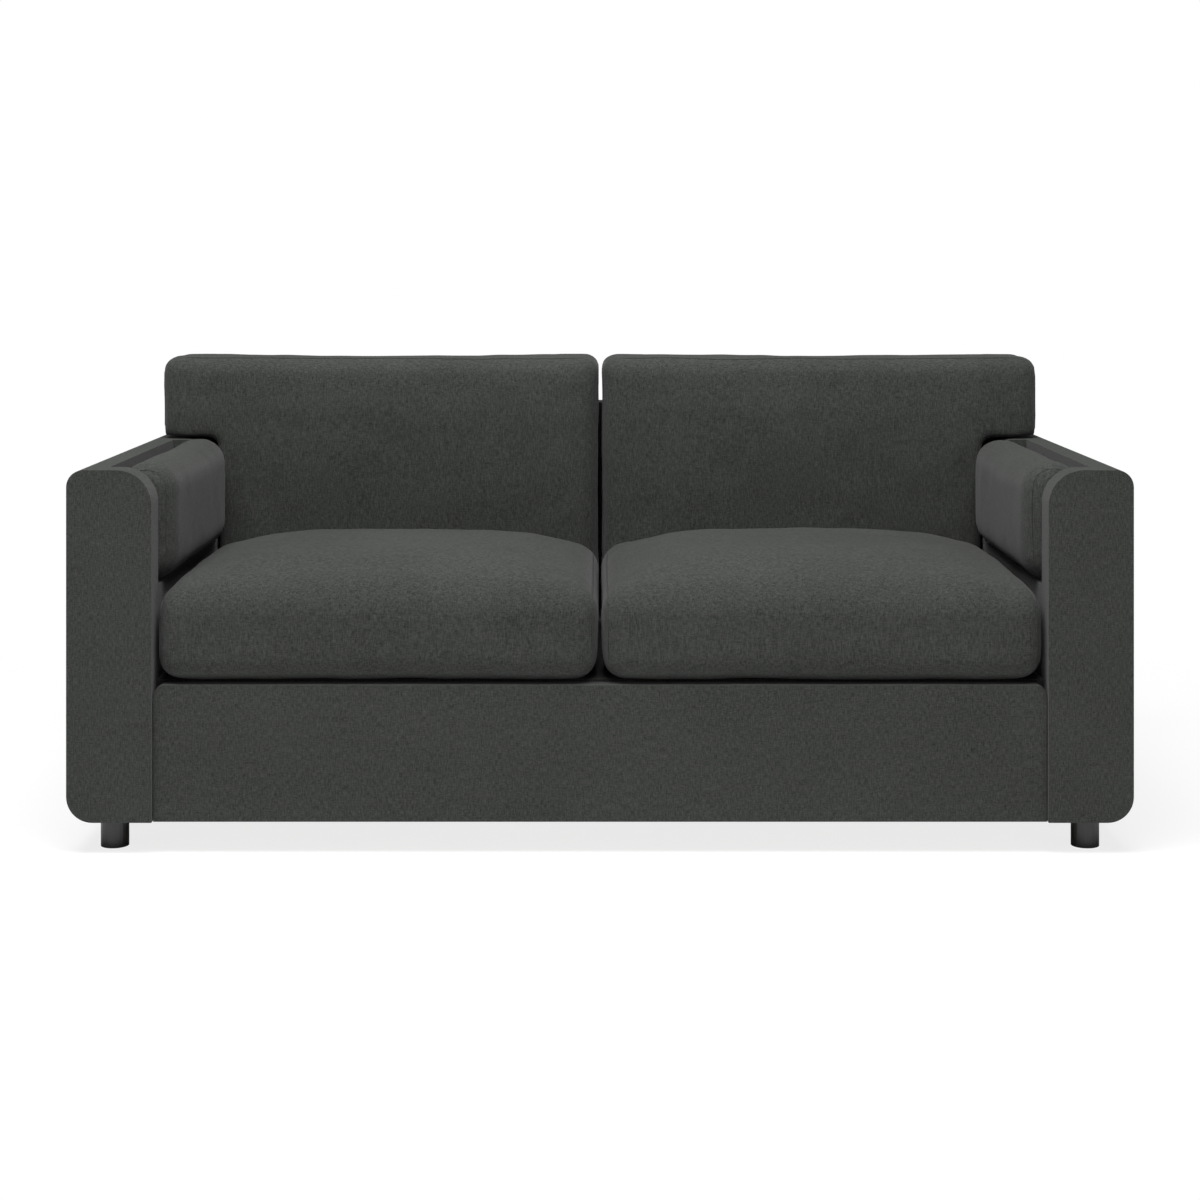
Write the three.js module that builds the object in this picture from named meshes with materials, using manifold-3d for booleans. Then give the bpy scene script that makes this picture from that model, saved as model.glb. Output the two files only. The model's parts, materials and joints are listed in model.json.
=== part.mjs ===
// Two seat sofa with loose cushions and a bed that rolls out on castors behind its front panel.
// Millimetres, +Z up, front towards -Y, origin on the floor under the middle of the sofa.
import * as THREE from 'three';
import { mergeVertices } from 'three/addons/utils/BufferGeometryUtils.js';
import Module from 'manifold-3d';

const wasm = await Module();
wasm.setup();

// Overall sizes
const sofaWidth = 1880;
const sofaDepth = 960;
const footHeight = 57;
const footRadius = 25;
const footInset = 46;

// Clearances
const touchGap = 0.3;
const softGap = 4;
const cutOverrun = 20;
const slidingGap = 1.6;

// Arms
const armWidth = 150;
const armHeight = 678;
const armWall = 64;
const armPost = 62;
const armLedgeRise = 4;
const armFootRadius = 46;
const armOuterRadius = 30;
const armInnerRadius = 62;

// Back frame
const backThickness = 92;
const backHeight = 740;
const backCornerRadius = 30;

// Seat platform and the parts that carry it
const platformTop = 302;
const platformThickness = 20;
const cleatWidth = 24;
const cleatHeight = 34;
const beamDepth = 34;
const beamHeight = 26;
const frontPanelThickness = 34;
const frontPanelInset = 8;
const frontPanelDrop = 4;
const panelEdgeRadius = 20;

// Cushions
const seatCushionHeight = 162;
const seatCushionCrown = 56;
const seatCushionRadius = 42;
const backCushionThickness = 190;
const backCushionTop = 847;
const backCushionCrown = 20;
const backCushionRadius = 32;
const backCushionOverhang = 116;
const pillowThickness = 98;
const pillowHeight = 216;
const pillowCrown = 8;
const pillowRadius = 46;
const crownPower = 4;
const sidePull = 3;

// Bed on castors
const bedRailWidth = 26;
const bedRailHeight = 50;
const bedRailBottom = 58;
const bedSideClearance = 34;
const bedRearClearance = 24;
const runnerMargin = 8;
const runnerSheet = 3;
const slatCount = 8;
const slatThickness = 14;
const slatWidth = 62;
const mattressThickness = 104;
const mattressCrown = 5;
const mattressRadius = 18;
const mattressInset = 12;

// Castors
const wheelRadius = 24;
const wheelWidth = 20;
const axleRadius = 4;
const bracketHalfDepth = 8;
const bracketPlate = 4;
const bracketInset = 200;
const wheelBoreGap = 0.6;
const roundSides = 24;

// Points closer than this are one point.
const mergeDistance = 1e-5;

// Places worked out from the sizes above
const front = -sofaDepth / 2;
const rear = sofaDepth / 2;
const halfWidth = sofaWidth / 2;
const seatHalf = halfWidth - armWidth;
const backFront = rear - backThickness;
const backCushionRear = backFront - softGap;
const backCushionFront = backCushionRear - backCushionThickness;
const backCushionFace = backCushionFront - backCushionCrown;
const platformBottom = platformTop - platformThickness;
const cushionSeat = platformTop + touchGap;
const armLedgeHeight = cushionSeat + seatCushionHeight + armLedgeRise;

const fabric = new THREE.MeshStandardMaterial({ color: 0x2f3130, roughness: 0.95, metalness: 0 });
const footFinish = new THREE.MeshStandardMaterial({ color: 0x151515, roughness: 0.5, metalness: 0 });
const wood = new THREE.MeshStandardMaterial({ color: 0xb08a5c, roughness: 0.7, metalness: 0 });
const steel = new THREE.MeshStandardMaterial({ color: 0x8d9093, roughness: 0.4, metalness: 0.9 });
const rubber = new THREE.MeshStandardMaterial({ color: 0x202122, roughness: 0.8, metalness: 0 });
const ticking = new THREE.MeshStandardMaterial({ color: 0xd9d6cf, roughness: 0.9, metalness: 0 });

const sofa = new THREE.Group();

function place(name, geometry, material, x = 0, y = 0, z = 0) {
  const mesh = new THREE.Mesh(geometry, material);
  mesh.name = name;
  mesh.position.set(x, y, z);
  sofa.add(mesh);
  return mesh;
}

// A block given by its low and high corners.
function block(name, material, low, high) {
  const size = high.map((value, axis) => value - low[axis]);
  const middle = high.map((value, axis) => (value + low[axis]) / 2);
  return place(name, new THREE.BoxGeometry(...size), material, ...middle);
}

// A rectangle outline with its own radius at each corner, from the lower left corner round.
function roundedOutline(left, bottom, right, top, radii) {
  const [lowLeft, lowRight, topRight, topLeft] = radii;
  const shape = new THREE.Shape();
  shape.moveTo(left + lowLeft, bottom);
  shape.lineTo(right - lowRight, bottom);
  if (lowRight) shape.absarc(right - lowRight, bottom + lowRight, lowRight, -Math.PI / 2, 0);
  shape.lineTo(right, top - topRight);
  if (topRight) shape.absarc(right - topRight, top - topRight, topRight, 0, Math.PI / 2);
  shape.lineTo(left + topLeft, top);
  if (topLeft) shape.absarc(left + topLeft, top - topLeft, topLeft, Math.PI / 2, Math.PI);
  shape.lineTo(left, bottom + lowLeft);
  if (lowLeft) shape.absarc(left + lowLeft, bottom + lowLeft, lowLeft, Math.PI, Math.PI * 1.5);
  return shape;
}

// An outline drawn in X and Z, made solid from the place start along +Y.
function frontProfile(shape, start, length) {
  const geometry = new THREE.ExtrudeGeometry(shape, {
    depth: length,
    bevelEnabled: false,
    curveSegments: 6,
  });
  geometry.rotateX(Math.PI / 2);
  geometry.translate(0, start + length, 0);
  return geometry;
}

// Grid places across a rounded block: a few close to each edge and the rest even.
function gridPlaces(half, radius, cells) {
  const places = [];
  const corner = [0, 0.29, 0.62].map((share) => share * radius);
  const inner = half - radius;
  corner.forEach((step) => places.push(-half + step));
  for (let i = 0; i <= cells; i += 1) places.push(-inner + (2 * inner * i) / cells);
  corner.reverse().forEach((step) => places.push(half - step));
  return places;
}

// A closed cushion: rounded edges, crowned faces along one axis and sides drawn in between corners.
function cushionGeometry(size, radius, crown, crownAxis, cells, flatSide = 0) {
  const half = size.map((value) => value / 2);
  const places = half.map((value, axis) => gridPlaces(value, radius, cells[axis]));
  const counts = places.map((list) => list.length - 1);
  const box = new THREE.BoxGeometry(1, 1, 1, ...counts);
  box.deleteAttribute('normal');
  box.deleteAttribute('uv');
  const geometry = mergeVertices(box, mergeDistance);
  const points = geometry.attributes.position;
  const across = [0, 1, 2].filter((axis) => axis !== crownAxis);
  for (let i = 0; i < points.count; i += 1) {
    const raw = [points.getX(i), points.getY(i), points.getZ(i)];
    const grid = raw.map((value, axis) => places[axis][Math.round((value + 0.5) * counts[axis])]);
    const core = grid.map((value, axis) => Math.max(radius - half[axis], Math.min(half[axis] - radius, value)));
    const out = new THREE.Vector3(...grid.map((value, axis) => value - core[axis]));
    const point = core.slice();
    if (out.length() > 0) {
      out.setLength(radius);
      out.toArray().forEach((value, axis) => { point[axis] += value; });
    }
    const shares = point.map((value, axis) => value / half[axis]);
    const bulge = (1 - shares[across[0]] ** crownPower) * (1 - shares[across[1]] ** crownPower);
    const side = flatSide * shares[crownAxis] > 0 ? 0 : shares[crownAxis];
    across.forEach((axis) => {
      const other = across[0] === axis ? across[1] : across[0];
      point[axis] -= shares[axis] ** 3 * sidePull * (1 - shares[other] ** 2);
    });
    point[crownAxis] += crown * bulge * side;
    points.setXYZ(i, ...point);
  }
  return geometry;
}

// An arm: a post of full width at each end, and between them a thinner wall above a ledge for the pillow.
function arm(name, side) {
  const outer = halfWidth;
  const inner = halfWidth - armWidth;
  const foot = armFootRadius;
  const top = armOuterRadius;
  const shape = roundedOutline(inner, footHeight, outer, armHeight, [0, foot, top, armInnerRadius]);
  const post = frontProfile(shape, front, armPost);
  const wallShape = new THREE.Shape();
  wallShape.moveTo(inner, footHeight);
  wallShape.lineTo(outer - foot, footHeight);
  wallShape.absarc(outer - foot, footHeight + foot, foot, -Math.PI / 2, 0);
  wallShape.absarc(outer - top, armHeight - top, top, 0, Math.PI / 2);
  wallShape.lineTo(outer - armWall, armHeight);
  wallShape.lineTo(outer - armWall, armLedgeHeight);
  wallShape.lineTo(inner, armLedgeHeight);
  wallShape.lineTo(inner, footHeight);
  const wallStart = front + armPost + touchGap;
  const wall = frontProfile(wallShape, wallStart, backCushionFace - touchGap - wallStart);
  const rearPost = frontProfile(shape, backCushionFace, rear - backCushionFace);
  if (side < 0) {
    [post, wall, rearPost].forEach(mirrorAcrossX);
  }
  place(`${name}_arm_post`, post, fabric);
  place(`${name}_arm`, wall, fabric);
  place(`${name}_arm_rear`, rearPost, fabric);
}

// The solid of a geometry, with the vertices that faces share merged.
function solidOf(geometry) {
  geometry.deleteAttribute('normal');
  geometry.deleteAttribute('uv');
  const merged = mergeVertices(geometry, mergeDistance);
  return new wasm.Manifold(new wasm.Mesh({
    numProp: 3,
    vertProperties: new Float32Array(merged.attributes.position.array),
    triVerts: new Uint32Array(merged.index.array),
  }));
}

function subtract(whole, cut) {
  const mesh = solidOf(whole).subtract(solidOf(cut)).getMesh();
  const geometry = new THREE.BufferGeometry();
  geometry.setAttribute('position', new THREE.BufferAttribute(mesh.vertProperties, mesh.numProp));
  geometry.setIndex(new THREE.BufferAttribute(mesh.triVerts, 1));
  return geometry;
}

// The left arm is the right one turned over, so its triangles are turned too.
function mirrorAcrossX(geometry) {
  geometry.scale(-1, 1, 1);
  const points = geometry.attributes.position;
  for (let i = 0; i < points.count; i += 3) {
    const a = [points.getX(i), points.getY(i), points.getZ(i)];
    const b = [points.getX(i + 1), points.getY(i + 1), points.getZ(i + 1)];
    points.setXYZ(i, ...b);
    points.setXYZ(i + 1, ...a);
  }
}

// The upholstered back between the arms, with a rounded top.
function backFrame() {
  const half = seatHalf - touchGap;
  const shape = roundedOutline(-half, footHeight, half, backHeight, [0, 0, backCornerRadius, backCornerRadius]);
  place('back_frame', frontProfile(shape, backFront, backThickness), fabric);
}

// Round feet under the four corners.
function feet() {
  const across = halfWidth - footInset - footRadius;
  const along = sofaDepth / 2 - footInset - footRadius;
  [['front_left', -1, -1], ['front_right', 1, -1], ['rear_left', -1, 1], ['rear_right', 1, 1]].forEach(
    ([name, x, y]) => {
      const geometry = new THREE.CylinderGeometry(footRadius, footRadius, footHeight - touchGap, roundSides);
      geometry.rotateX(Math.PI / 2);
      place(`${name}_foot`, geometry, footFinish, x * across, y * along, (footHeight - touchGap) / 2);
    },
  );
}

// The board under the cushions, on a cleat along each arm and a beam at the front.
function seatPlatform() {
  const half = seatHalf - touchGap;
  const start = front + frontPanelInset + frontPanelThickness + slidingGap;
  const end = backFront - touchGap;
  block('seat_platform', fabric, [-half, start, platformBottom], [half, end, platformTop]);
  const top = platformBottom - touchGap;
  [['left', -1], ['right', 1]].forEach(([name, side]) => {
    const xs = [side * half, side * (half - cleatWidth)].sort((a, b) => a - b);
    block(`${name}_cleat`, wood, [xs[0], start + beamDepth + touchGap, top - cleatHeight], [xs[1], end, top]);
  });
  block('front_beam', fabric, [-half, start, top - beamHeight], [half, start + beamDepth, top]);
}

// A steel runner along the foot of each arm, which guides the side rail of the bed.
function bedRunners() {
  const outer = seatHalf - touchGap;
  const inner = seatHalf - bedSideClearance + touchGap;
  const start = front + frontPanelInset + frontPanelThickness + slidingGap;
  const low = bedRailBottom + runnerMargin;
  const high = bedRailBottom + bedRailHeight - runnerMargin;
  [['left', -1], ['right', 1]].forEach(([name, side]) => {
    const shape = new THREE.Shape();
    shape.moveTo(side * outer, low);
    shape.lineTo(side * inner, low);
    shape.lineTo(side * inner, low + runnerSheet);
    shape.lineTo(side * (outer - runnerSheet), low + runnerSheet);
    shape.lineTo(side * (outer - runnerSheet), high - runnerSheet);
    shape.lineTo(side * inner, high - runnerSheet);
    shape.lineTo(side * inner, high);
    shape.lineTo(side * outer, high);
    shape.closePath();
    place(`${name}_runner`, frontProfile(shape, start, backFront - touchGap - start), steel);
  });
}

// A seat cushion on each side of the middle, its front level with the arms.
function seatCushions() {
  const width = seatHalf - softGap - softGap / 2;
  const start = front + touchGap;
  const depth = backCushionFace - softGap - start;
  const middle = softGap / 2 + width / 2;
  const height = seatCushionHeight;
  [['left', -1], ['right', 1]].forEach(([name, side]) => {
    const size = [width, depth, height];
    const geometry = cushionGeometry(size, seatCushionRadius, seatCushionCrown, 2, [8, 7, 2], -1);
    place(`${name}_seat_cushion`, geometry, fabric, side * middle, start + depth / 2, cushionSeat + height / 2);
  });
}

// A back cushion on each side, cut away below so that its outer upper part reaches over the arm.
function backCushions() {
  const width = seatHalf + backCushionOverhang - softGap / 2;
  const height = backCushionTop - cushionSeat;
  const reach = backCushionOverhang + softGap;
  const cutTop = armHeight + softGap - cushionSeat - height / 2;
  const cutHeight = cutTop + height / 2 + cutOverrun;
  [['left', -1], ['right', 1]].forEach(([name, side]) => {
    const size = [width, backCushionThickness, height];
    const whole = cushionGeometry(size, backCushionRadius, backCushionCrown, 1, [6, 1, 6], 1);
    const cut = new THREE.BoxGeometry(reach + cutOverrun, backCushionThickness * 2, cutHeight);
    cut.translate((side * (width - reach + cutOverrun)) / 2, 0, cutTop - cutHeight / 2);
    const middle = softGap / 2 + width / 2;
    place(`${name}_back_cushion`, subtract(whole, cut), fabric, side * middle,
      backCushionFront + backCushionThickness / 2, cushionSeat + height / 2);
  });
}

// A long pillow on the ledge inside each arm, behind the post.
function armPillows() {
  const start = front + armPost + softGap;
  const depth = backCushionFace - softGap - start;
  const middle = halfWidth - armWall - softGap - pillowCrown - pillowThickness / 2;
  const low = armLedgeHeight + touchGap;
  [['left', -1], ['right', 1]].forEach(([name, side]) => {
    const size = [pillowThickness, depth, pillowHeight];
    const geometry = cushionGeometry(size, pillowRadius, pillowCrown, 0, [2, 5, 3]);
    geometry.computeBoundingBox();
    const rest = low - geometry.boundingBox.min.z;
    place(`${name}_arm_pillow`, geometry, fabric, side * middle, start + depth / 2, rest);
  });
}

// The rolling bed frame: the front panel of the sofa, two rails, a rear rail, slats and a mattress.
function bed() {
  const panelHalf = seatHalf - slidingGap;
  const panelStart = front + frontPanelInset;
  const panelEnd = panelStart + frontPanelThickness;
  const panelTop = platformTop - frontPanelDrop;
  const radii = [0, 0, panelEdgeRadius, panelEdgeRadius];
  const panel = roundedOutline(-panelHalf, footHeight, panelHalf, panelTop, radii);
  place('bed_front_panel', frontProfile(panel, panelStart, frontPanelThickness), fabric);
  const outer = seatHalf - bedSideClearance;
  const railStart = panelEnd + touchGap;
  const railEnd = backFront - bedRearClearance;
  const railTop = bedRailBottom + bedRailHeight;
  [['left', -1], ['right', 1]].forEach(([name, side]) => {
    const xs = [side * outer, side * (outer - bedRailWidth)].sort((a, b) => a - b);
    block(`bed_${name}_rail`, wood, [xs[0], railStart, bedRailBottom], [xs[1], railEnd, railTop]);
  });
  const inner = outer - bedRailWidth - touchGap;
  block('bed_rear_rail', wood, [-inner, railEnd - bedRailWidth, bedRailBottom], [inner, railEnd, railTop]);
  const slatLow = railTop + touchGap;
  const run = railEnd - railStart - slatWidth;
  for (let i = 0; i < slatCount; i += 1) {
    const y = railStart + (run * i) / (slatCount - 1);
    block(`bed_slat_${i + 1}`, wood, [-outer, y, slatLow], [outer, y + slatWidth, slatLow + slatThickness]);
  }
  const width = 2 * (outer - mattressInset);
  const depth = railEnd - railStart - 2 * mattressInset;
  const size = [width, depth, mattressThickness];
  const pad = cushionGeometry(size, mattressRadius, mattressCrown, 2, [6, 4, 1], -1);
  const padMiddle = slatLow + slatThickness + touchGap + mattressThickness / 2;
  place('mattress', pad, ticking, 0, (railStart + railEnd) / 2, padMiddle);
  [['front_left', -1, 0], ['front_right', 1, 0], ['rear_left', -1, 1], ['rear_right', 1, 1]].forEach(
    ([name, side, back]) => {
      const x = side * (outer - bedRailWidth / 2);
      const y = back ? railEnd - bracketInset : railStart + bracketInset;
      castor(name, x, y);
    },
  );
}

// A fixed castor: a folded steel bracket under the rail, an axle and a wheel.
function castor(name, x, y) {
  const top = bedRailBottom - touchGap;
  const inside = wheelWidth / 2 + wheelBoreGap;
  const outside = inside + bracketPlate;
  const eye = wheelRadius;
  const shape = new THREE.Shape();
  shape.moveTo(-outside, eye - bracketHalfDepth);
  shape.lineTo(-inside, eye - bracketHalfDepth);
  shape.lineTo(-inside, top - bracketPlate);
  shape.lineTo(inside, top - bracketPlate);
  shape.lineTo(inside, eye - bracketHalfDepth);
  shape.lineTo(outside, eye - bracketHalfDepth);
  shape.lineTo(outside, top);
  shape.lineTo(-outside, top);
  shape.closePath();
  const bracket = frontProfile(shape, -bracketHalfDepth, 2 * bracketHalfDepth);
  place(`${name}_castor_bracket`, bracket, steel, x, y, 0);
  place(`${name}_castor_wheel`, ring(axleRadius + wheelBoreGap, wheelRadius, wheelWidth), rubber, x, y, eye);
  const axle = new THREE.CylinderGeometry(axleRadius, axleRadius, 2 * inside - 2 * touchGap, roundSides);
  axle.rotateZ(Math.PI / 2);
  place(`${name}_castor_axle`, axle, steel, x, y, eye);
}

// A ring about the X axis, centred on its own middle.
function ring(bore, radius, width) {
  const profile = [[bore, -1], [radius, -1], [radius, 1], [bore, 1], [bore, -1]].map(
    ([r, side]) => new THREE.Vector2(r, (side * width) / 2),
  );
  const geometry = new THREE.LatheGeometry(profile, roundSides);
  geometry.rotateZ(Math.PI / 2);
  return geometry;
}

arm('left', -1);
arm('right', 1);
backFrame();
feet();
seatPlatform();
bedRunners();
seatCushions();
backCushions();
armPillows();
bed();

export default sofa;
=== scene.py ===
# %% [markdown]
# The sofa stands ready as solids with real sizes. This lesson loads them as a fixed frame and dresses them:
# charcoal cloth over soft forms, black feet, pale timber, zinc castors and a ticking mattress.
# Every soft form starts as a copy of its solid, so it lies where the maker put it.

# %% Load the frame
import json
import math

import bmesh
import bpy
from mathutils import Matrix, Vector, noise


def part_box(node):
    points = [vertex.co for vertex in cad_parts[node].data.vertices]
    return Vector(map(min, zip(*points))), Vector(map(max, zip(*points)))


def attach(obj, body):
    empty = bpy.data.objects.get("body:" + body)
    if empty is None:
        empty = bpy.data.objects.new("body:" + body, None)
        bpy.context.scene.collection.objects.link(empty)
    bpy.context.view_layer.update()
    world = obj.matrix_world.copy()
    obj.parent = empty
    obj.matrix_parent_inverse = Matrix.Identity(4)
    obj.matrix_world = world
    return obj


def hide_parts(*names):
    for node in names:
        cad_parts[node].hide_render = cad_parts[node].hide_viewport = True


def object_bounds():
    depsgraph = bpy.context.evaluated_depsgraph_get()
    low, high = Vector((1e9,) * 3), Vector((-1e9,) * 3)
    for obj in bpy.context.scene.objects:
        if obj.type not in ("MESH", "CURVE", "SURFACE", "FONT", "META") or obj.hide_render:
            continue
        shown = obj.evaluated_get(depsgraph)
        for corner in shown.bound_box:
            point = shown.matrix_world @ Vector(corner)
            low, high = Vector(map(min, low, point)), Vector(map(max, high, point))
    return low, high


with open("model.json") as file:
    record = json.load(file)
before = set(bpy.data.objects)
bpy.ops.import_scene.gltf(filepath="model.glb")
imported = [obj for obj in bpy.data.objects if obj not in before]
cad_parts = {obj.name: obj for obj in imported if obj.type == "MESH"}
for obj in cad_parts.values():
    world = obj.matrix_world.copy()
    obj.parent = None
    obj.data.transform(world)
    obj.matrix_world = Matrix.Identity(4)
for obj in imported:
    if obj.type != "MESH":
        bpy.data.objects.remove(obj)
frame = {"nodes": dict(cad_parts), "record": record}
cad_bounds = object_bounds()
cad_low = Vector(cad_bounds[0])
cad_high = Vector(cad_bounds[1])
nodes = frame["nodes"]
body_of_node = {
    node: body for body, names in frame["record"]["behaviour"]["bodies"].items() for node in names
}
print("frame", [round(v, 3) for v in cad_high - cad_low])

# %% [markdown]
# The picture was taken straight on, from a little over a metre up and about four metres away, with the
# lens shifted so that upright lines stay upright. A shifted lens is better here than a tilted camera,
# which would lean the arms towards each other.

# %% Camera
PHOTO_PIXELS = 1200
PHOTO_SOFA_PIXELS = 1068
PHOTO_HORIZON_ROW = 256
PHOTO_ARM_FOOT_ROW = 823
CAMERA_DISTANCE = 3.92
SENSOR = 36.0

metres_per_pixel = (cad_high.x - cad_low.x) / PHOTO_SOFA_PIXELS
camera_data = bpy.data.cameras.new("camera")
camera = bpy.data.objects.new("camera", camera_data)
bpy.context.scene.collection.objects.link(camera)
bpy.context.scene.camera = camera
arm_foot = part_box("left_arm_post")[0][2]
camera_height = arm_foot + (PHOTO_ARM_FOOT_ROW - PHOTO_HORIZON_ROW) * metres_per_pixel
camera.location = (0, cad_low.y - CAMERA_DISTANCE, camera_height)
camera.rotation_euler = (math.pi / 2, 0, 0)
camera_data.sensor_width = SENSOR
camera_data.lens = SENSOR * CAMERA_DISTANCE / (PHOTO_PIXELS * metres_per_pixel)
camera_data.shift_y = (PHOTO_HORIZON_ROW - PHOTO_PIXELS / 2) / PHOTO_PIXELS
print("lens", round(camera_data.lens, 1), "height", round(camera_height, 3))

# %% [markdown]
# Shader maths reads best as sums. This small class wraps a socket, so that mask * 0.5 + 0.2 adds the
# Math nodes by itself, and one method makes every other node.


# %% Shader sums
class Wire:
    def __init__(self, tree, socket):
        self.tree = tree
        self.socket = socket

    def _sum(self, other, operation, swap=False):
        pair = (other, self) if swap else (self, other)
        return self.tree.node("ShaderNodeMath", {"operation": operation}, {0: pair[0], 1: pair[1]})

    def __add__(self, other):
        return self._sum(other, "ADD")

    def __radd__(self, other):
        return self._sum(other, "ADD", True)

    def __sub__(self, other):
        return self._sum(other, "SUBTRACT")

    def __rsub__(self, other):
        return self._sum(other, "SUBTRACT", True)

    def __mul__(self, other):
        return self._sum(other, "MULTIPLY")

    def __rmul__(self, other):
        return self._sum(other, "MULTIPLY", True)


class Finish:
    def __init__(self, name):
        self.material = bpy.data.materials.new(name)
        self.material.use_nodes = True
        self.tree = self.material.node_tree
        self.shader = self.tree.nodes["Principled BSDF"]

    def node(self, kind, settings=None, inputs=None, output=0):
        made = self.tree.nodes.new(kind)
        for key, value in (settings or {}).items():
            if key == "stops":
                ramp = made.color_ramp
                while len(ramp.elements) < len(value):
                    ramp.elements.new(0.5)
                for element, (place, colour) in zip(ramp.elements, value):
                    element.position = place
                    element.color = (*colour, 1)
            else:
                setattr(made, key, value)
        for key, value in (inputs or {}).items():
            self.put(made.inputs[key], value)
        return Wire(self, made.outputs[output])

    def put(self, socket, value):
        if isinstance(value, Wire):
            self.tree.links.new(value.socket, socket)
        else:
            socket.default_value = value

    def mix(self, share, low, high):
        made = self.tree.nodes.new("ShaderNodeMix")
        made.data_type = "RGBA"
        self.put(made.inputs[0], share)
        self.put(made.inputs[6], low)
        self.put(made.inputs[7], high)
        return Wire(self, made.outputs[2])

    def surface(self, **sockets):
        for key, value in sockets.items():
            self.put(self.shader.inputs[key.replace("_", " ")], value)
        return self.material


# %% [markdown]
# The cover is a melange weave: dark and paler grey yarns crossing about every millimetre, with longer
# slubs across them. Fine noise gives the yarns and noise stretched both ways gives the slubs. All of it
# reads object coordinates, so the weave has its real size on every piece and needs no unwrapping.

# %% Charcoal cloth
YARN_SCALE = 900.0
SLUB_SCALE = 500.0
CHARCOAL_DARK = (0.0075, 0.0085, 0.0074)
CHARCOAL_PALE = (0.05, 0.0535, 0.049)


def charcoal_cloth(name, painted_shade_tone=1.0):
    cloth = Finish(name)
    place = cloth.node("ShaderNodeTexCoord", output=3)
    rows = cloth.node("ShaderNodeMapping", {}, {0: place, 3: (1.0, 1.0, 0.18)})
    columns = cloth.node("ShaderNodeMapping", {}, {0: place, 3: (0.3, 0.3, 1.0)})
    slub_up = cloth.node("ShaderNodeTexNoise", {}, {"Vector": rows, "Scale": SLUB_SCALE, "Detail": 2.0})
    slub_over = cloth.node("ShaderNodeTexNoise", {}, {"Vector": columns, "Scale": SLUB_SCALE, "Detail": 2.0})
    yarn = cloth.node("ShaderNodeTexNoise", {}, {"Vector": place, "Scale": YARN_SCALE, "Detail": 3.0})
    cloud = cloth.node("ShaderNodeTexNoise", {}, {"Vector": place, "Scale": 5.0, "Detail": 2.0})
    melange = slub_up * 0.5 + slub_over * 0.4 + yarn * 0.25 + cloud * 0.1
    stops = [(0.44, CHARCOAL_DARK), (0.88, CHARCOAL_PALE)]
    # A tone below 1 darkens the whole cloth; it is used only for welts and seams, as painted shade of their
    # grooves.
    stops = [(spot, tuple(channel * painted_shade_tone for channel in colour)) for spot, colour in stops]
    colour = cloth.node("ShaderNodeValToRGB", {"stops": stops}, {0: melange})
    bump = cloth.node("ShaderNodeBump", {}, {"Height": melange, "Strength": 0.35, "Distance": 0.0012})
    cloth.surface(Base_Color=colour, Roughness=0.92, Normal=bump, Sheen_Weight=0.06, Sheen_Roughness=0.5)
    cloth.surface(Specular_IOR_Level=0.2)
    return cloth.material


fabric = charcoal_cloth("charcoal_cloth")
# Welts and seams get the same cloth darkened to 0.8: painted shade standing for the shadow in the groove along
# each sewn ridge.
shaded_welt_cloth = charcoal_cloth("charcoal_welt_painted_shade", 0.8)

# %% [markdown]
# The hidden parts are plain trade finishes: planed timber, zinc plated steel, moulded castors, a striped
# mattress ticking and black feet. Each is a noise or a wave on its colour and roughness.

# %% Hard finishes
def plain_finish(name, low, high, scale, stretch, rough, metal=0.0):
    made = Finish(name)
    place = made.node("ShaderNodeTexCoord", output=3)
    along = made.node("ShaderNodeMapping", {}, {0: place, 3: stretch})
    grain = made.node("ShaderNodeTexNoise", {}, {"Vector": along, "Scale": scale, "Detail": 5.0})
    colour = made.mix(grain, (*low, 1), (*high, 1))
    bump = made.node("ShaderNodeBump", {}, {"Height": grain, "Strength": 0.15, "Distance": 0.0006})
    made.surface(Base_Color=colour, Roughness=grain * 0.2 + rough, Normal=bump, Metallic=metal)
    return made.material


timber = plain_finish("planed_timber", (0.42, 0.26, 0.12), (0.62, 0.43, 0.24), 60.0, (0.08, 1.0, 1.0), 0.5)
zinc = plain_finish("zinc_plate", (0.42, 0.43, 0.45), (0.6, 0.61, 0.62), 300.0, (1.0, 1.0, 1.0), 0.25, 1.0)
castor_rubber = plain_finish("castor_rubber", (0.012, 0.012, 0.013), (0.03, 0.03, 0.03), 200.0, (1, 1, 1), 0.6)
foot_black = plain_finish("foot_black", (0.006, 0.006, 0.006), (0.014, 0.014, 0.014), 90.0, (1, 1, 0.2), 0.3)


def ticking_finish():
    made = Finish("mattress_ticking")
    place = made.node("ShaderNodeTexCoord", output=3)
    settings = {"wave_type": "BANDS", "bands_direction": "X"}
    stripe = made.node("ShaderNodeTexWave", settings, {"Vector": place, "Scale": 9.0}, output=1)
    weave = made.node("ShaderNodeTexNoise", {}, {"Vector": place, "Scale": 500.0, "Detail": 3.0})
    stops = [(0.93, (0.43, 0.42, 0.39)), (0.97, (0.2, 0.22, 0.25))]
    bands = made.node("ShaderNodeValToRGB", {"stops": stops}, {0: stripe})
    bump = made.node("ShaderNodeBump", {}, {"Height": weave, "Strength": 0.3, "Distance": 0.001})
    made.surface(Base_Color=bands, Roughness=0.9, Normal=bump)
    return made.material


ticking = ticking_finish()
HARD = {
    "bare_wood": timber,
    "zinc_steel": zinc,
    "castor_rubber": castor_rubber,
    "foot_black": foot_black,
}


def paint(piece, material):
    piece.data.materials.clear()
    piece.data.materials.append(material)


for part in frame["record"]["subparts"]:
    if part["material_slot"] in HARD:
        paint(nodes[part["node"]], HARD[part["material_slot"]])
    else:
        paint(nodes[part["node"]], fabric)


# %% [markdown]
# A soft piece starts as a copy of its solid. The voxel remesh gives it even faces, smoothing takes the
# facets away, and a slow noise along the normals gives the small swells of a filled cover.

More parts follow.
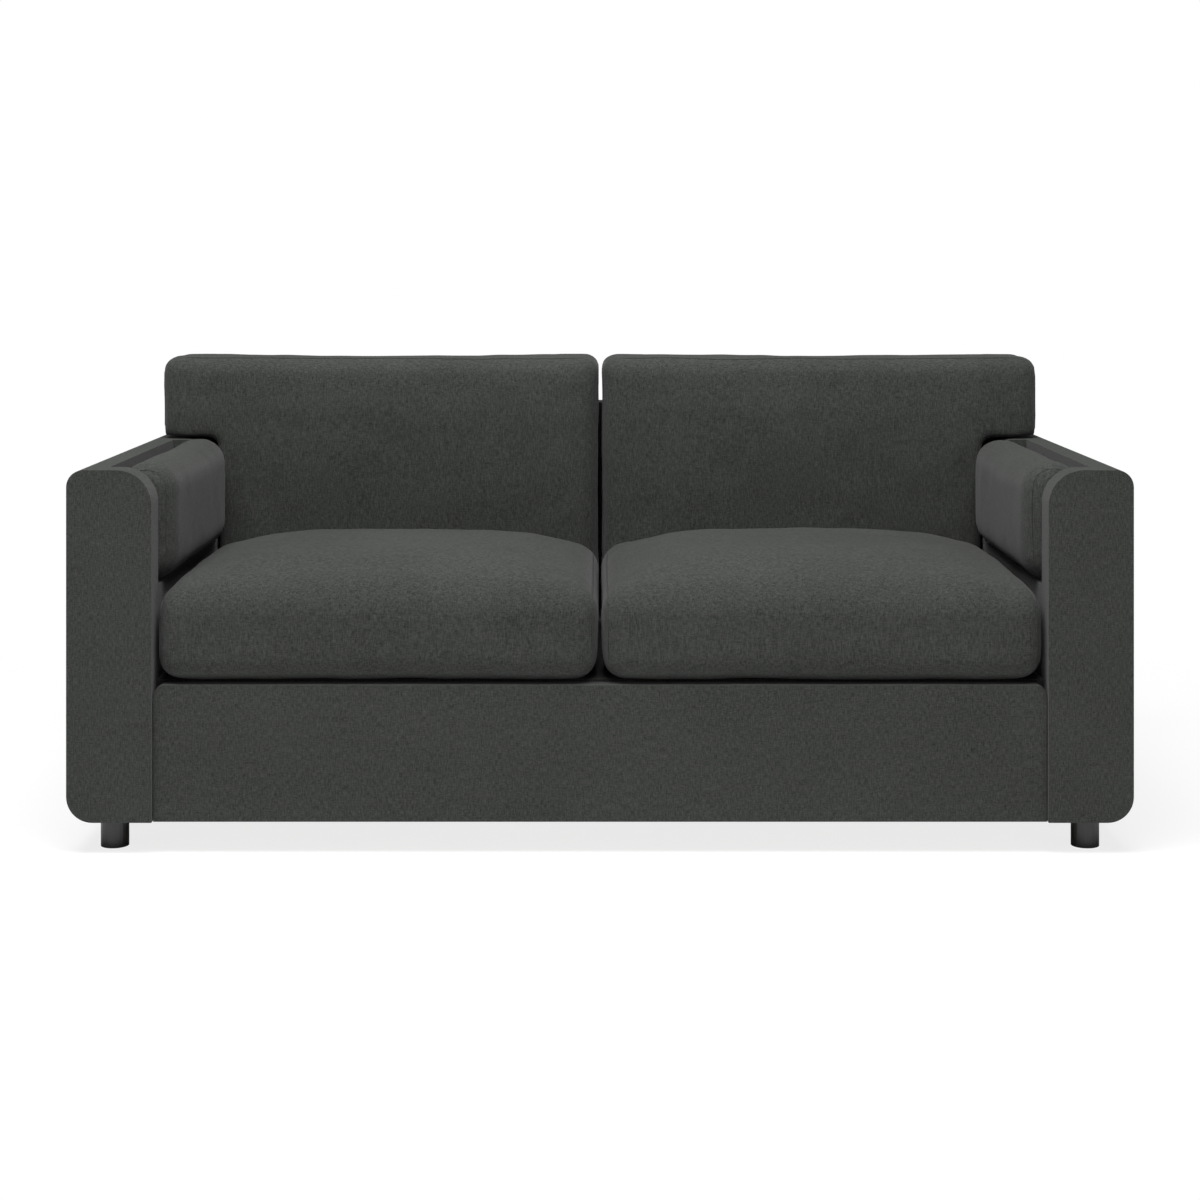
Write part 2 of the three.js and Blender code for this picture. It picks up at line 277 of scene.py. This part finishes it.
# %% Soft copies
def copy_of(name, *sources):
    shape = bmesh.new()
    for source in sources:
        shape.from_mesh(nodes[source].data)
    mesh = bpy.data.meshes.new(name)
    shape.to_mesh(mesh)
    shape.free()
    mesh.materials.clear()
    made = bpy.data.objects.new(name, mesh)
    bpy.context.scene.collection.objects.link(made)
    return made


def add_modifier(piece, kind, **settings):
    made = piece.modifiers.new(kind.lower(), kind)
    for key, value in settings.items():
        setattr(made, key, value)
    return made


def apply_modifiers(piece):
    graph = bpy.context.evaluated_depsgraph_get()
    mesh = bpy.data.meshes.new_from_object(piece.evaluated_get(graph))
    piece.modifiers.clear()
    old = piece.data
    piece.data = mesh
    bpy.data.meshes.remove(old)


def shade_smooth(piece):
    for face in piece.data.polygons:
        face.use_smooth = True


def dress(piece, body, slot, material, *replaced):
    paint(piece, material)
    shade_smooth(piece)
    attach(piece, body)
    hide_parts(*replaced)


def fill_box(piece, low, high):
    places = [vertex.co for vertex in piece.data.vertices]
    now_low = Vector(min(place[axis] for place in places) for axis in range(3))
    now_high = Vector(max(place[axis] for place in places) for axis in range(3))
    for vertex in piece.data.vertices:
        for axis in range(3):
            share = (vertex.co[axis] - now_low[axis]) / (now_high[axis] - now_low[axis])
            vertex.co[axis] = low[axis] + share * (high[axis] - low[axis])


SWELLS_PER_METRE = 7.0


def plump(name, node, voxel, rounds, swell, seed):
    piece = copy_of(name, node)
    add_modifier(piece, "REMESH", mode="VOXEL", voxel_size=voxel)
    add_modifier(piece, "SMOOTH", factor=0.5, iterations=rounds)
    apply_modifiers(piece)
    low, high = (Vector(corner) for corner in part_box(node))
    fill_box(piece, low, high)
    normals = [vertex.normal.copy() for vertex in piece.data.vertices]
    for vertex, normal in zip(piece.data.vertices, normals):
        spot = vertex.co * SWELLS_PER_METRE + Vector((seed, seed, seed))
        wave = noise.noise(spot) * 0.7 + noise.noise(spot * 2.7) * 0.3
        vertex.co += normal * (wave * swell)
        vertex.co = Vector(max(l, min(h, v)) for l, h, v in zip(low, high, vertex.co))
    return piece


CUSHIONS = {
    "left_seat_cushion": (0.009, 12, 0.004),
    "right_seat_cushion": (0.009, 12, 0.004),
    "left_back_cushion": (0.009, 5, 0.004),
    "right_back_cushion": (0.009, 5, 0.004),
    "left_arm_pillow": (0.007, 6, 0.003),
    "right_arm_pillow": (0.007, 6, 0.003),
}
soft = {}
for seed, (node, (voxel, rounds, swell)) in enumerate(CUSHIONS.items()):
    piece = plump(f"{node}_cover", node, voxel, rounds, swell, seed * 3.7)
    dress(piece, body_of_node[node], "charcoal_fabric", fabric, node)
    soft[node] = piece
    print(piece.name, len(piece.data.polygons))

mattress = plump("mattress_cover", "mattress", 0.008, 4, 0.002, 31.0)
dress(mattress, "bed", "mattress_ticking", ticking, "mattress")


# %% [markdown]
# The arms, the back and the front panel are foam over timber, pulled tight. Their edges are crisp but
# never sharp, so a small bevel with a few segments is enough.

# %% Tight covers
TIGHT_BEVEL = 0.006


def tight(name, body, *sources):
    piece = copy_of(name, *sources)
    add_modifier(piece, "WELD", merge_threshold=0.0001)
    add_modifier(piece, "BEVEL", width=TIGHT_BEVEL, segments=3, limit_method="ANGLE", angle_limit=math.radians(40))
    apply_modifiers(piece)
    dress(piece, body, "charcoal_fabric", fabric, *sources)
    for face in piece.data.polygons:
        face.use_smooth = True
    add_modifier(piece, "WEIGHTED_NORMAL", keep_sharp=False)
    return piece


tight("left_arm_cover", "sofa", "left_arm")
tight("right_arm_cover", "sofa", "right_arm")
tight("left_arm_front", "sofa", "left_arm_post")
tight("right_arm_front", "sofa", "right_arm_post")
tight("left_arm_back", "sofa", "left_arm_rear")
tight("right_arm_back", "sofa", "right_arm_rear")
tight("back_cover", "sofa", "back_frame")
tight("front_panel_cover", "bed", "bed_front_panel")


# %% [markdown]
# A welt is a thin sewn ridge. Round the front of each arm it is a bevelled curve that follows the
# outline of the arm front, just inside its edge. Its cloth is darker than the cover: painted shade of the groove
# along the ridge.

# %% Welts
WELT_RADIUS = 0.0022


def welt(name, points, body, cyclic=False, radius=WELT_RADIUS):
    data = bpy.data.curves.new(name, "CURVE")
    data.dimensions = "3D"
    data.bevel_depth = radius
    data.bevel_resolution = 2
    line = data.splines.new("POLY")
    line.points.add(len(points) - 1)
    for spot, point in zip(line.points, points):
        spot.co = (*point, 1)
    line.use_cyclic_u = cyclic
    made = bpy.data.objects.new(name, data)
    bpy.context.scene.collection.objects.link(made)
    # Welts and seams take the darkened cloth, painted shade of the groove beside them.
    made.data.materials.append(shaded_welt_cloth)
    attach(made, body)
    return made


def rounded_path(left, bottom, right, top, radii, y, steps=8):
    corners = [
        (left, bottom, radii[0], math.pi),
        (right, bottom, radii[1], 1.5 * math.pi),
        (right, top, radii[2], 0.0),
        (left, top, radii[3], 0.5 * math.pi),
    ]
    points = []
    for x, z, radius, start in corners:
        middle_x = x + (radius if x == left else -radius)
        middle_z = z + (radius if z == bottom else -radius)
        for i in range(steps + 1):
            angle = start + 0.5 * math.pi * i / steps
            points.append((middle_x + radius * math.cos(angle), y, middle_z + radius * math.sin(angle)))
    return points


ARM_FOOT_RADIUS = 0.046
ARM_OUTER_RADIUS = 0.030
ARM_INNER_RADIUS = 0.062
ARM_SQUARE = 0.004
for side, node in ((-1, "left_arm_post"), (1, "right_arm_post")):
    low, high = (Vector(corner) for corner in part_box(node))
    if side < 0:
        radii = (ARM_FOOT_RADIUS, ARM_SQUARE, ARM_INNER_RADIUS, ARM_OUTER_RADIUS)
    else:
        radii = (ARM_SQUARE, ARM_FOOT_RADIUS, ARM_OUTER_RADIUS, ARM_INNER_RADIUS)
    inset = 0.002
    path = rounded_path(low.x + inset, low.z + inset, high.x - inset, high.z - inset, radii, low.y + 0.003)
    welt(f"{node}_welt", path, "sofa", cyclic=True)

# %% [markdown]
# The cushions have a seam where the top cover meets its side panels. A plane through the finished cushion
# gives exactly the line on which such a seam lies, so each one is cut out of the mesh and drawn as a
# thin cord. That follows every swell of the cover, which a line placed by hand would not. The cord is in
# the darker welt cloth, whose darkening is painted shade of the seam's groove.

# %% Seams
SEAM_RADIUS = 0.0014
SEAM_STEP = 3


def cut_line(piece, place, normal):
    shape = bmesh.new()
    shape.from_mesh(piece.data)
    everything = shape.verts[:] + shape.edges[:] + shape.faces[:]
    cut = bmesh.ops.bisect_plane(shape, geom=everything, plane_co=place, plane_no=normal)["geom_cut"]
    edges = [item for item in cut if isinstance(item, bmesh.types.BMEdge)]
    beside = {}
    for edge in edges:
        first, second = edge.verts
        beside.setdefault(first, []).append(second)
        beside.setdefault(second, []).append(first)
    start = next(iter(beside))
    line = [start]
    before, now = None, start
    while True:
        following = [vertex for vertex in beside[now] if vertex is not before]
        if not following or following[0] is start:
            break
        before, now = now, following[0]
        line.append(now)
    points = [vertex.co.copy() for vertex in line]
    shape.free()
    return points


def evened(points, rounds=3):
    for _ in range(rounds):
        count = len(points)
        points = [(points[i - 1] + points[i] * 2 + points[(i + 1) % count]) / 4 for i in range(count)]
    return points


def seam(name, piece, place, normal, body):
    points = evened(cut_line(piece, place, normal))[::SEAM_STEP]
    return welt(name, points, body, cyclic=True, radius=SEAM_RADIUS)


SIDE_SEAM_INSET = 0.012
END_SEAM_INSET = 0.014
BACK_SEAM_SHARE = 0.2
for side in ("left", "right"):
    node = f"{side}_seat_cushion"
    low, high = (Vector(corner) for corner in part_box(node))
    for end, x in (("outer", low.x + SIDE_SEAM_INSET), ("inner", high.x - SIDE_SEAM_INSET)):
        seam(f"{node}_{end}_seam", soft[node], (x, 0, 0), (1, 0, 0), body_of_node[node])
    node = f"{side}_arm_pillow"
    low, high = (Vector(corner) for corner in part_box(node))
    seam(f"{node}_front_seam", soft[node], (0, low.y + END_SEAM_INSET, 0), (0, 1, 0), body_of_node[node])
    node = f"{side}_back_cushion"
    low, high = (Vector(corner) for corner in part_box(node))
    front_edge = low.y + (high.y - low.y) * BACK_SEAM_SHARE
    seam(f"{node}_front_seam", soft[node], (0, front_edge, 0), (0, 1, 0), body_of_node[node])


# %% [markdown]
# The studio is plain: a pale floor that takes the shadow, a world that the camera sees as white, one
# large soft lamp above the front and two weaker ones at the sides.

# %% Studio
FLOOR_WHITENESS = 0.8
FADE_START = 1.1
FADE_LENGTH = 1.0


def studio_floor():
    mesh = bpy.data.meshes.new("floor")
    reach = 12.0
    corners = [(-reach, -reach, 0), (reach, -reach, 0), (reach, reach, 0), (-reach, reach, 0)]
    mesh.from_pydata(corners, [], [(0, 1, 2, 3)])
    floor = bpy.data.objects.new("floor", mesh)
    bpy.context.scene.collection.objects.link(floor)
    finish = Finish("studio_floor")
    place = finish.node("ShaderNodeTexCoord", output=3)
    grain = finish.node("ShaderNodeTexNoise", {}, {"Vector": place, "Scale": 3.0})
    colour = finish.mix(grain, (0.86, 0.86, 0.86, 1), (0.9, 0.9, 0.9, 1))
    finish.surface(Base_Color=colour, Roughness=0.9)
    glow = finish.node("ShaderNodeEmission", {}, {"Color": (1, 1, 1, 1), "Strength": 1.0})
    seen = finish.node("ShaderNodeLightPath", output=0)
    lit = Wire(finish, finish.shader.outputs[0])
    away = finish.node("ShaderNodeVectorMath", {"operation": "LENGTH"}, {0: place}, output=1)
    stops = [(0.0, (FLOOR_WHITENESS,) * 3), (1.0, (1, 1, 1))]
    fade = finish.node("ShaderNodeValToRGB", {"stops": stops}, {0: (away - FADE_START) * (1 / FADE_LENGTH)})
    both = finish.node("ShaderNodeMixShader", {}, {0: seen * fade, 1: lit, 2: glow})
    finish.tree.links.new(both.socket, finish.tree.nodes["Material Output"].inputs[0])
    floor.data.materials.append(finish.material)


def lamp(name, place, target, size, watts):
    data = bpy.data.lights.new(name, "AREA")
    data.shape = "RECTANGLE"
    data.size, data.size_y = size
    data.energy = watts
    made = bpy.data.objects.new(name, data)
    bpy.context.scene.collection.objects.link(made)
    made.location = place
    made.rotation_euler = (Vector(target) - Vector(place)).to_track_quat("-Z", "Y").to_euler()


def studio_world(strength):
    world = bpy.data.worlds.new("studio")
    bpy.context.scene.world = world
    world.use_nodes = True
    tree = world.node_tree
    plain = tree.nodes["Background"]
    plain.inputs["Color"].default_value = (1, 1, 1, 1)
    plain.inputs["Strength"].default_value = strength
    white = tree.nodes.new("ShaderNodeBackground")
    white.inputs["Strength"].default_value = 1.0
    white.inputs["Color"].default_value = (1, 1, 1, 1)
    path = tree.nodes.new("ShaderNodeLightPath")
    mix = tree.nodes.new("ShaderNodeMixShader")
    tree.links.new(path.outputs["Is Camera Ray"], mix.inputs[0])
    tree.links.new(plain.outputs[0], mix.inputs[1])
    tree.links.new(white.outputs[0], mix.inputs[2])
    tree.links.new(mix.outputs[0], tree.nodes["World Output"].inputs[0])


studio_floor()
seat_middle = (0, 0, 0.45)
lamp("key", (-0.3, -1.4, 3.7), seat_middle, (3.2, 1.6), 290)
lamp("left_fill", (-4.0, -2.6, 1.6), seat_middle, (1.8, 2.4), 20)
lamp("right_fill", (4.0, -2.6, 1.6), seat_middle, (1.8, 2.4), 17)
studio_world(0.17)
bpy.context.scene.view_settings.view_transform = "Standard"
